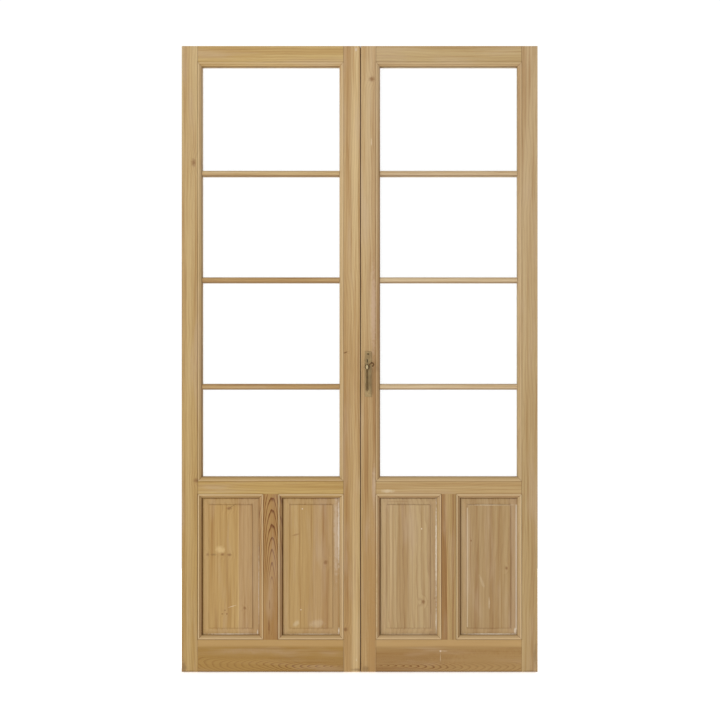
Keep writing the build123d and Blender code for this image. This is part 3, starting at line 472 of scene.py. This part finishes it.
# Panels: raised and fielded boards that float in grooves in the lower half of each leaf.
# Each is glued up from two boards, with small knots.
# Pale traces of old paint are left along the right and lower mouldings.
dress("left_outer_panel", pine(
    "left_outer_panel_pine", "Z", high=(184, 151, 96), low=(183, 150, 95), heart=(-0.30, 0.16, 0.36),
    lean=0.020, ring=0.0085, figure=0.10, openings=sight(-1, ("outer",)),
    knots=(
        (-0.4051, 0.2265, 0.007, 0.006),
        (-0.5366, 0.4149, 0.006, 0.007),
        (-0.4830, 0.4160, 0.008, 0.007),
        (-0.4590, 0.4140, 0.009, 0.006),
        (-0.4600, 0.5780, 0.013, 0.007),
        (-0.4840, 0.2060, 0.004, 0.004),
        (-0.4680, 0.2060, 0.004, 0.004),
        (-0.4750, 0.2190, 0.0035, 0.004),
    ),
    boards=(
        (-0.390, 0.0365, 0.0, 0.55, (174, 142, 106), 0.0020),
        (-0.4275, 0.0012, 0.0, 0.5, (206, 176, 124), 0.0012),
    ),
    marks=(
        (-0.4909, 0.4325, 0.015, 0.012, 0.0, 0.75, (208, 178, 126)),
        (-0.4480, 0.5860, 0.012, 0.0012, 0.6, 0.7, grime_and_shade),
        (-0.5150, 0.4149, 0.009, 0.004, 0.0, 0.45, grime_and_shade),
        (-0.4480, 0.2330, 0.012, 0.0009, 0.28, 0.8, pale_trace),
        (-0.3560, 0.3000, 0.0018, 0.130, 0.0, 0.5, old_paint),
        (-0.4500, 0.1340, 0.090, 0.0016, 0.0, 0.8, old_paint),
        (-0.3600, 0.1400, 0.0022, 0.0090, 0.0, 0.6, old_paint),
    ),
    field=True, bands=0.85, seed=2.2))
dress("left_inner_panel", pine(
    "left_inner_panel_pine", "Z", high=(180, 148, 96), low=(179, 147, 95), heart=(-0.06, 0.15, 0.30),
    lean=0.020, ring=0.0085, figure=0.10, openings=sight(-1, ("inner",)),
    knots=(
        (-0.1200, 0.3878, 0.009, 0.009),
    ),
    boards=(
        (-0.118, 0.0455, 0.0, 0.40, (176, 144, 106), 0.0020),
        (-0.1638, 0.0009, 0.0, 0.5, (146, 110, 70), 0.0012),
    ),
    marks=(
        (-0.2237, 0.1724, 0.011, 0.010, 0.5, 0.28, pale_trace),
        (-0.1499, 0.1730, 0.024, 0.013, 0.1, 0.25, (214, 196, 172)),
        (-0.0740, 0.5000, 0.0030, 0.125, 0.0, 0.9, old_paint),
        (-0.0740, 0.1450, 0.0026, 0.012, 0.0, 0.95, old_paint),
        (-0.0830, 0.4900, 0.0080, 0.150, 0.0, 0.50, (206, 188, 168)),
        (-0.1700, 0.1336, 0.090, 0.0014, 0.0, 0.7, old_paint),
        (-0.2250, 0.4850, 0.013, 0.0030, 0.25, 0.6, (146, 106, 66)),
        (-0.2020, 0.5760, 0.0022, 0.0020, 0.0, 0.6, old_paint),
        (-0.2070, 0.2210, 0.0022, 0.0022, 0.0, 0.6, old_paint),
    ),
    field=True, bands=0.85, seed=6.1))
dress("right_inner_panel", pine(
    "right_inner_panel_pine", "Z", high=(184, 160, 119), low=(182, 156, 114), heart=(0.30, 0.14, 0.40),
    lean=-0.024, ring=0.0085, figure=0.20, openings=sight(1, ("inner",)),
    knots=(
        (0.2237, 0.2486, 0.009, 0.008),
        (0.2640, 0.2600, 0.003, 0.004),
    ),
    boards=(
        (0.1519, 0.0008, 0.0, 0.45, (150, 116, 76), 0.0012),
        (0.1060, 0.0030, 0.010, 0.45, (206, 180, 140), 0.0025),
        (0.2550, 0.0150, 0.0, 0.40, (168, 138, 102), 0.0060),
    ),
    marks=(
        (0.2695, 0.4200, 0.0028, 0.170, 0.0, 0.9, old_paint),
        (0.2695, 0.1800, 0.0022, 0.050, 0.0, 0.7, old_paint),
        (0.2180, 0.5060, 0.0014, 0.0026, 0.0, 0.8, old_paint),
        (0.1700, 0.1336, 0.090, 0.0014, 0.0, 0.6, pale_trace),
        (0.1400, 0.6020, 0.040, 0.0020, 0.0, 0.4, (150, 116, 76)),
    ),
    field=True, bands=0.7, seed=9.4))
dress("right_outer_panel", pine(
    "right_outer_panel_pine", "Z", high=(172, 144, 102), low=(170, 142, 100), heart=(0.60, 0.15, 0.40),
    lean=0.022, ring=0.0085, figure=0.12, openings=sight(1, ("outer",)),
    knots=(
        (0.5169, 0.3671, 0.006, 0.007),
        (0.3920, 0.4640, 0.004, 0.005),
    ),
    boards=(
        (0.4666, 0.0008, 0.0, 0.4, (146, 114, 76), 0.0012),
        (0.5440, 0.0110, 0.0, 0.40, (182, 154, 126), 0.0050),
        (0.4980, 0.0300, 0.0, 0.25, (178, 150, 104), 0.0030),
    ),
    marks=(
        (0.5520, 0.3700, 0.0024, 0.220, 0.0, 0.65, old_paint),
        (0.4600, 0.1338, 0.090, 0.0020, 0.0, 0.9, old_paint),
        (0.5480, 0.1440, 0.0040, 0.0110, 0.0, 0.6, old_paint),
        (0.4560, 0.2450, 0.0026, 0.018, 0.0, 0.32, pale_trace),
        (0.4300, 0.3200, 0.0090, 0.0120, -2.0, 0.16, pale_trace),
        (0.3790, 0.3700, 0.0012, 0.210, 0.0, 0.6, pale_trace),
        (0.4600, 0.5895, 0.075, 0.0012, 0.0, 0.6, pale_trace),
    ),
    field=True, bands=0.85, seed=12.7))


# Glazing bars and the beads behind the panes: slim pine, the bars tenoned into the stiles.
# Light on their upper side, with painted shade along the lower edge of each bar.
bar_woods = {"left": ((194, 166, 120), (190, 161, 114)), "right": ((204, 181, 145), (201, 177, 140))}
bar_levels = (1.75725, 1.3815, 1.00575)
low_edge_drop = 0.0078
# Painted shade: a dark strip along the lower edge of each bar, on the side away from the light.
low_edge_shade_tone = (124, 96, 62)
for hand, (high, low) in bar_woods.items():
    side = -1.0 if hand == "left" else 1.0
    heart = (1.05, 0.05, side * 0.31)
    shaded_low_edges = [
        (side * middle_x, level - low_edge_drop, half_rail, 0.0024, 0.0, 0.8, low_edge_shade_tone)
        for level in bar_levels
    ]
    bar_pine = pine(
        f"{hand}_glazing_bar_pine", "X", high, low, heart, lean=0.012, ring=0.0070, figure=0.18,
        marks=shaded_low_edges, seed=15.0 + 3.3 * side)
    for row in ("glazing_bar_1", "glazing_bar_2", "glazing_bar_3"):
        dress(f"{hand}_{row}", bar_pine)
    dress(f"{hand}_glazing_beads", pine(
        f"{hand}_glazing_bead_pine", "round", high, low, heart, lean=0.012, ring=0.0070, figure=0.18,
        seed=16.0 + 3.3 * side))


# Panes: clear drawn glass, bedded in the rebates behind the bars.
# Slightly uneven and a little dusty, so that reflections break up.
pane_glass = bpy.data.materials.new("pane_glass")
pane_glass.use_nodes = True
glass_tree = pane_glass.node_tree
glass_shader = glass_tree.nodes["Principled BSDF"]
glass_shader.inputs["Base Color"].default_value = tone(236, 242, 238)
glass_shader.inputs["Alpha"].default_value = 0.08
glass_shader.inputs["IOR"].default_value = 1.5
glass_place = glass_tree.nodes.new("ShaderNodeTexCoord").outputs["Object"]
dust = cloud(glass_tree, glass_place, (9.0, 9.0, 6.0))
plug(glass_tree, glass_shader.inputs["Roughness"], fade(glass_tree, dust, 0.3, 0.8, 0.03, 0.09))
for hand in ("left", "right"):
    for row in range(1, 5):
        dress(f"{hand}_pane_{row}", pane_glass)


# Frame: two jambs, a head and a threshold in plain pine, screwed to the wall through the jambs.
# The leaves' lips cover it from the front.
for node, run, heart in (
    ("left_jamb", "Z", (-0.90, 0.05, 1.0)),
    ("right_jamb", "Z", (0.90, 0.05, 1.0)),
    ("head", "X", (2.42, 0.05, 0.0)),
    ("threshold", "X", (-0.22, 0.05, 0.0)),
):
    dress(node, pine(
        f"{node}_pine", run, (186, 155, 108), (176, 143, 95), heart, lean=0.005, ring=0.0090, figure=0.30,
        seed=20.0 + heart[0]))


# Hinges: pin hinges of drawn steel, three to a leaf, let into notches behind the leaves' lips.
# Dull grey with brown in the corners, each flap held by two countersunk screws with a slot.
def metal(name, clean, worn, shine, rough, spots=130.0):
    """Old metal: a clean colour and a worn one in soft clouds, with fine scratches in its roughness."""
    finish = bpy.data.materials.new(name)
    finish.use_nodes = True
    tree = finish.node_tree
    shader = tree.nodes["Principled BSDF"]
    place = tree.nodes.new("ShaderNodeTexCoord").outputs["Object"]
    patches = cloud(tree, place, (spots, spots, spots), 4.0, 0.6)
    scratch = cloud(tree, place, (900.0, 900.0, 120.0), 2.0, 0.5)
    colour = tint(tree, "MIX", fade(tree, patches, 0.38, 0.66), tone(*clean), tone(*worn))
    plug(tree, shader.inputs["Base Color"], colour)
    dulled = fade(tree, patches, 0.3, 0.7, 0.0, 0.15)
    wear = work(tree, "ADD", dulled, fade(tree, scratch, 0.4, 0.7, 0.0, 0.1))
    plug(tree, shader.inputs["Roughness"], work(tree, "ADD", wear, rough))
    shader.inputs["Metallic"].default_value = shine
    bump = tree.nodes.new("ShaderNodeBump")
    bump.inputs["Strength"].default_value = 0.15
    bump.inputs["Distance"].default_value = 0.0003
    tree.links.new(scratch, bump.inputs["Height"])
    tree.links.new(bump.outputs[0], shader.inputs["Normal"])
    return finish


def shell_faces(rows, columns, first=0):
    """Quads between neighbouring rings of points, each ring closed on itself, and a face over each end."""
    row, column = np.meshgrid(np.arange(rows - 1), np.arange(columns), indexing="ij")
    after = (column + 1) % columns
    here, beyond = row * columns, (row + 1) * columns
    corners = (here + column, here + after, beyond + after, beyond + column)
    quads = np.stack([corner.ravel() for corner in corners], axis=1) + first
    start_face = first + np.arange(columns)[::-1]
    end_face = first + (rows - 1) * columns + np.arange(columns)
    return quads.tolist() + [start_face.tolist(), end_face.tolist()]


def make_piece(name, shells, finish, body):
    """One smooth object in its place, made of closed shells of rings of points, which rides on a body."""
    points = np.concatenate([shell.reshape(-1, 3) for shell in shells])
    starts = np.cumsum([0] + [shell.shape[0] * shell.shape[1] for shell in shells])
    faces = []
    for shell, first in zip(shells, starts):
        faces += shell_faces(*shell.shape[:2], int(first))
    mesh = bpy.data.meshes.new(name)
    mesh.from_pydata(points.tolist(), [], faces)
    mesh.polygons.foreach_set("use_smooth", np.ones(len(mesh.polygons), dtype=bool))
    mesh.set_sharp_from_angle(angle=np.radians(40.0))
    mesh.materials.append(finish)
    piece = bpy.data.objects.new(name, mesh)
    bpy.context.collection.objects.link(piece)
    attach(piece, body)
    return piece


def screw_heads(name, places, facing, radius, rise, finish, body, slot):
    """Screw heads: a shallow dome on a polar grid, its height falling with the square of the distance from
    the middle, sunk along a straight slot and closed underneath. Each is turned by its order."""
    slot_half, slot_depth = 0.13, 0.6
    rings = np.concatenate((np.linspace(0.04, 1.0, 16), [1.0]))
    share, angle = np.meshgrid(rings, np.linspace(0.0, 2.0 * np.pi, 48, endpoint=False), indexing="ij")
    sunk = np.where(np.abs(share * np.sin(angle)) < slot_half, slot_depth, 0.0)
    height = rise * (1.0 - 0.7 * share**2 - sunk)
    height[-1] = -rise
    out = np.array(facing, dtype=float)
    upward = np.array((0.0, 0.0, 1.0))
    aside = np.cross(upward, out)
    shells = []
    for order, place in enumerate(places):
        spin = angle[..., None] + 1.1 * order + 0.4
        flat = radius * share[..., None] * (np.cos(spin) * upward + np.sin(spin) * aside)
        shells.append(np.array(place) + flat + height[..., None] * out)
    return make_piece(name, shells, finish, body)


hinge_steel = metal("hinge_steel", (128, 124, 116), (92, 78, 62), 0.9, 0.38)
screw_steel = metal("screw_steel", (120, 112, 98), (84, 70, 52), 0.9, 0.34)
hinge_levels = (0.234, 1.104, 1.974)
frame_flap_x, frame_flap_y = 0.6145, -0.032
leaf_flap_x, leaf_flap_y = 0.6110, -0.035
near_screw, far_screw = 0.010, 0.034
flap_screw = {"radius": 0.0030, "rise": 0.0004, "finish": screw_steel, "slot": "iron"}
for hand, side in (("left", -1.0), ("right", 1.0)):
    for half in ("frame", "leaf"):
        dress(f"{hand}_hinge_{half}_halves", hinge_steel)
    frame_screws = []
    leaf_screws = []
    for level in hinge_levels:
        for away in (far_screw, near_screw):
            frame_screws.append((side * frame_flap_x, frame_flap_y, level - away))
        for away in (near_screw, far_screw):
            leaf_screws.append((side * leaf_flap_x, leaf_flap_y, level + away))
    screw_heads(f"{hand}_hinge_frame_screws", frame_screws, (0, -1, 0), body="frame", **flap_screw)
    screw_heads(f"{hand}_hinge_leaf_screws", leaf_screws, (0, 1, 0), body=f"{hand}_leaf", **flap_screw)


# Flush bolts: a top and a bottom one in the left leaf's edge, each sliding behind its face plate.
# Iron bolts behind brass plates, each plate held by two small screws.
old_brass = metal("old_brass", (150, 126, 82), (104, 84, 52), 0.85, 0.40)
dark_iron = metal("dark_iron", (96, 90, 82), (70, 58, 46), 0.85, 0.45)
small_screw = {"radius": 0.0030, "rise": 0.0003, "slot": "brass"}
plate_screw_inset = 0.008
for level in ("top", "bottom"):
    dress(f"left_{level}_flush_plate", old_brass)
    dress(f"left_{level}_flush_bolt", dark_iron)
    low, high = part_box(f"left_{level}_flush_plate")
    screw_levels = (low[2] + plate_screw_inset, high[2] - plate_screw_inset)
    plate_screws = [(high[0], (low[1] + high[1]) / 2.0, screw_level) for screw_level in screw_levels]
    screw_heads(
        f"left_{level}_flush_plate_screws", plate_screws, (1, 0, 0),
        finish=old_brass, body="left_leaf", **small_screw)


# Lock works in the right leaf: a gear case, a pinion on the lever's spindle, and two bolt rods with racks.
# Iron throughout, with a brass strip over the rods' groove, screwed at five places, its colour darkened as
# painted shade because it lies in the slit between the leaves.
for node in ("right_gear_case", "lock_pinion", "upper_bolt_rod", "lower_bolt_rod"):
    dress(node, dark_iron)
# Painted shade: the strip and its screws are coloured darker for the shadow in the slit between the leaves.
shaded_strip_brass = metal("shaded_strip_brass", (112, 88, 54), (84, 64, 38), 0.6, 0.45)
dress("right_edge_strip", shaded_strip_brass)
low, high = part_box("right_edge_strip")
strip_screw_inset = 0.03
strip_levels = np.linspace(low[2] + strip_screw_inset, high[2] - strip_screw_inset, 5)
strip_screws = [(low[0], (low[1] + high[1]) / 2.0, level) for level in strip_levels]
screw_heads(
    "right_edge_strip_screws", strip_screws, (-1, 0, 0),
    finish=shaded_strip_brass, body="right_leaf", **small_screw)


# Lock plate: a narrow brass plate with a keyhole on the right meeting stile, worn to a flat olive brown.
# Two slotted screws hold it, the upper one dark and the lower one below the lever pale, with a painted
# highlight.
plate_front = -0.056
plate_brass = metal("plate_brass", (162, 138, 94), (143, 119, 79), 0.30, 0.50, 40.0)
dress("right_lock_plate", plate_brass)
dark_screw = metal("dark_screw", (104, 84, 50), (74, 58, 32), 0.6, 0.40)
# Painted highlight: the lower screw is coloured pale for the light it catches.
highlit_screw = metal("highlit_screw", (190, 164, 120), (160, 132, 90), 0.6, 0.34)
plate_screw_x = 0.0296
for name, level, finish in (
    ("upper_plate_screw", 1.1210, dark_screw),
    ("lower_plate_screw", 0.9815, highlit_screw),
):
    screw_heads(
        name, [(plate_screw_x, plate_front, level)], (0, -1, 0),
        radius=0.0034, rise=0.0010, finish=finish, body="right_leaf", slot="brass")


# Lever: a cast brass handle hanging straight down from an egg-shaped hub, with a curl beside it.
# The square spindle goes through the plate into the pinion, and the hub's front is pale: rubbed brass with
# a painted highlight.
def bar(path, wide, deep, wide_half, deep_half, sides=40):
    """A closed bar: an oval carried along a path, with its half sizes along wide and deep at each point."""
    angle = np.linspace(0.0, 2.0 * np.pi, sides, endpoint=False)[None, :, None]
    half_wide = (wide_half[:, None] * wide)[:, None, :]
    half_deep = (deep_half[:, None] * deep)[:, None, :]
    return path[:, None, :] + np.cos(angle) * half_wide + np.sin(angle) * half_deep


def spindle_path(depths):
    """Points along the spindle's line, through the middle of the hub, at the given Y."""
    depths = np.array(depths)
    return np.stack((np.full(len(depths), hub[0]), depths, np.full(len(depths), hub[2])), axis=1)


hub = np.array((0.027, -0.0743, 1.076))
hub_half_width, hub_half_height = 0.0051, 0.0088
grip_length, tip_length = 0.076, 0.009
grip_half, grip_swell = 0.0037, 0.0008
unit_x, unit_y, unit_z = np.eye(3)
hub_fall = -hub_half_height * np.cos(np.linspace(0.02, 1.5, 20))
grip_fall = np.linspace(0.0, grip_length, 60)[1:]
tip_fall = grip_length + tip_length * np.sin(np.linspace(0.05, 1.55, 18))
fall = np.concatenate((hub_fall, grip_fall, tip_fall))
egg = hub_half_width * np.sqrt(np.clip(1.0 - (fall / hub_half_height) ** 2, 0.0, 1.0))
tip = np.sqrt(np.clip(1.0 - np.clip((fall - grip_length) / tip_length, 0.0, 1.0) ** 2, 0.0, 1.0))
swelling = grip_swell * np.exp(-(((fall - 0.074) / 0.016) ** 2))
stalk = np.where(fall > 0.0, grip_half + swelling, 0.0) * tip
half_grip = (egg**6 + stalk**6) ** (1.0 / 6.0)
grip = bar(hub - fall[:, None] * unit_z, unit_x, -unit_y, half_grip, half_grip)
stem_y = (-0.0563, -0.0566, -0.0605, -0.0612, -0.0614, -0.0640, -0.0700, -0.0743)
stem_half = np.array((0.0086, 0.0090, 0.0090, 0.0084, 0.0062, 0.0054, 0.0050, 0.0048))
stem = bar(spindle_path(stem_y), unit_x, unit_z, stem_half, stem_half)
square_half = np.full(2, 0.0035)
square_path = spindle_path((-0.0570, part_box("lever_handle")[1][1]))
square = bar(square_path, unit_x + unit_z, unit_x - unit_z, square_half, square_half, sides=4)
curl_middle = np.array((0.0434, hub[1], 1.0842))
curl_radius = 0.0060
turn = np.radians(np.linspace(150.0, -80.0, 60))[:, None]
hook = curl_middle + curl_radius * (np.cos(turn) * unit_x + np.sin(turn) * unit_z)
run_in = np.linspace(0.0, 1.0, 20, endpoint=False)[:, None]
curl_path = np.concatenate((hub + (hook[0] - hub) * run_in, hook))
ahead = np.gradient(curl_path, axis=0)
ahead /= np.linalg.norm(ahead, axis=1, keepdims=True)
travel = np.linspace(0.0, 1.0, len(curl_path))
curl_half = 0.0025 + 0.0006 * np.exp(-(((travel - 0.97) / 0.08) ** 2))
curl_half[[0, -2, -1]] *= (0.5, 0.8, 0.4)
curl_deep = np.tile(unit_y, (len(ahead), 1))
curl = bar(curl_path, np.cross(unit_y, ahead), curl_deep, curl_half, curl_half, sides=24)

lever_brass = metal("lever_brass", (112, 88, 48), (88, 68, 37), 0.45, 0.40)
lever_tree = lever_brass.node_tree
lever_shader = lever_tree.nodes["Principled BSDF"]
lever_split = lever_tree.nodes.new("ShaderNodeSeparateXYZ")
lever_place = lever_tree.nodes.new("ShaderNodeTexCoord").outputs["Object"]
lever_tree.links.new(lever_place, lever_split.inputs[0])
lever_x, lever_y, lever_z = lever_split.outputs
cast_colour = lever_shader.inputs["Base Color"].links[0].from_socket
from_hub_x = work(lever_tree, "SUBTRACT", lever_x, 0.0262)
from_hub_z = work(lever_tree, "SUBTRACT", lever_z, 1.0765)
from_hub = oval(lever_tree, from_hub_x, from_hub_z, 0.0052, hub_half_height)
# Painted highlight: the front of the hub is painted pale, for rubbed brass that catches the light.
near_hub = fade(lever_tree, times(lever_tree, from_hub, from_hub), 0.35, 1.05, 0.9, 0.0)
rubbed_and_highlit = times(lever_tree, near_hub, fade(lever_tree, lever_y, -0.0740, -0.0765))
brown = fade(lever_tree, lever_x, 0.0320, 0.0360, 0.0, 0.9)
lever_colour = tint(lever_tree, "MIX", brown, cast_colour, tone(100, 70, 32))
lever_colour = tint(lever_tree, "MIX", rubbed_and_highlit, lever_colour, tone(196, 178, 136))
plug(lever_tree, lever_shader.inputs["Base Color"], lever_colour)
lever = make_piece("cast_lever", [grip, stem, square, curl], lever_brass, "lever")
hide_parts("lever_handle")


# Floor, light and camera: a plain pale floor that ends behind the doors, and a white backdrop.
# Soft light comes from the upper left, with a weak fill on the right and a lamp behind.
# The camera has the photograph's width of view, and stands a little to the right.
floor_half, floor_front, floor_back = 30.0, -20.0, 2.2
floor_corners = [
    (-floor_half, floor_front, 0.0),
    (floor_half, floor_front, 0.0),
    (floor_half, floor_back, 0.0),
    (-floor_half, floor_back, 0.0),
]
floor_mesh = bpy.data.meshes.new("floor")
floor_mesh.from_pydata(floor_corners, [], [(0, 1, 2, 3)])
floor = bpy.data.objects.new("floor", floor_mesh)
bpy.context.collection.objects.link(floor)
floor_paint = bpy.data.materials.new("floor_paint")
floor_paint.use_nodes = True
floor_shader = floor_paint.node_tree.nodes["Principled BSDF"]
floor_shader.inputs["Base Color"].default_value = (0.93, 0.93, 0.93, 1.0)
floor_shader.inputs["Roughness"].default_value = 0.9
floor_shader.inputs["Emission Color"].default_value = (1.0, 1.0, 1.0, 1.0)
floor_shader.inputs["Emission Strength"].default_value = 0.60
floor_mesh.materials.append(floor_paint)

scene = bpy.context.scene
scene.view_settings.view_transform = "Standard"
studio = bpy.data.worlds.new("studio")
scene.world = studio
studio.use_nodes = True
studio_tree = studio.node_tree
glow = studio_tree.nodes["Background"]
glow.inputs["Color"].default_value = (1.0, 1.0, 1.0, 1.0)
glow.inputs["Strength"].default_value = 0.385
backdrop = studio_tree.nodes.new("ShaderNodeBackground")
backdrop.inputs["Color"].default_value = (1.0, 1.0, 1.0, 1.0)
backdrop.inputs["Strength"].default_value = 1.05
seen = studio_tree.nodes.new("ShaderNodeLightPath")
choice = studio_tree.nodes.new("ShaderNodeMixShader")
studio_tree.links.new(seen.outputs["Is Camera Ray"], choice.inputs[0])
studio_tree.links.new(glow.outputs[0], choice.inputs[1])
studio_tree.links.new(backdrop.outputs[0], choice.inputs[2])
studio_tree.links.new(choice.outputs[0], studio_tree.nodes["World Output"].inputs["Surface"])


def lamp(name, place, aim, size, power):
    """A square soft light at place, turned so that it shines at aim."""
    light = bpy.data.lights.new(name, "AREA")
    light.size = size
    light.energy = power
    holder = bpy.data.objects.new(name, light)
    bpy.context.collection.objects.link(holder)
    holder.location = place
    holder.rotation_euler = (Vector(aim) - Vector(place)).to_track_quat("-Z", "Y").to_euler()


doors_middle = (0.0, 0.0, 1.0)
lamp("key", (-7.0, -9.0, 6.6), doors_middle, size=3.4, power=575.0)
lamp("fill", (6.0, -8.0, 3.0), doors_middle, size=5.0, power=40.0)
lamp("back", (5.0, 8.5, 5.5), doors_middle, size=4.0, power=560.0)

leaf_front = -0.053
distance = 4.5
view_width = 2.5308
view_middle_x, view_middle_z = 0.0012, 1.1003
slide = 0.14
sensor = 36.0
lens = bpy.data.cameras.new("camera")
lens.sensor_width = sensor
lens.lens = sensor * distance / view_width
lens.shift_x = -slide / view_width
lens.clip_end = 80.0
camera = bpy.data.objects.new("camera", lens)
bpy.context.collection.objects.link(camera)
camera.location = (view_middle_x + slide, leaf_front - distance, view_middle_z)
camera.rotation_euler = (np.pi / 2.0, 0.0, 0.0)
scene.camera = camera
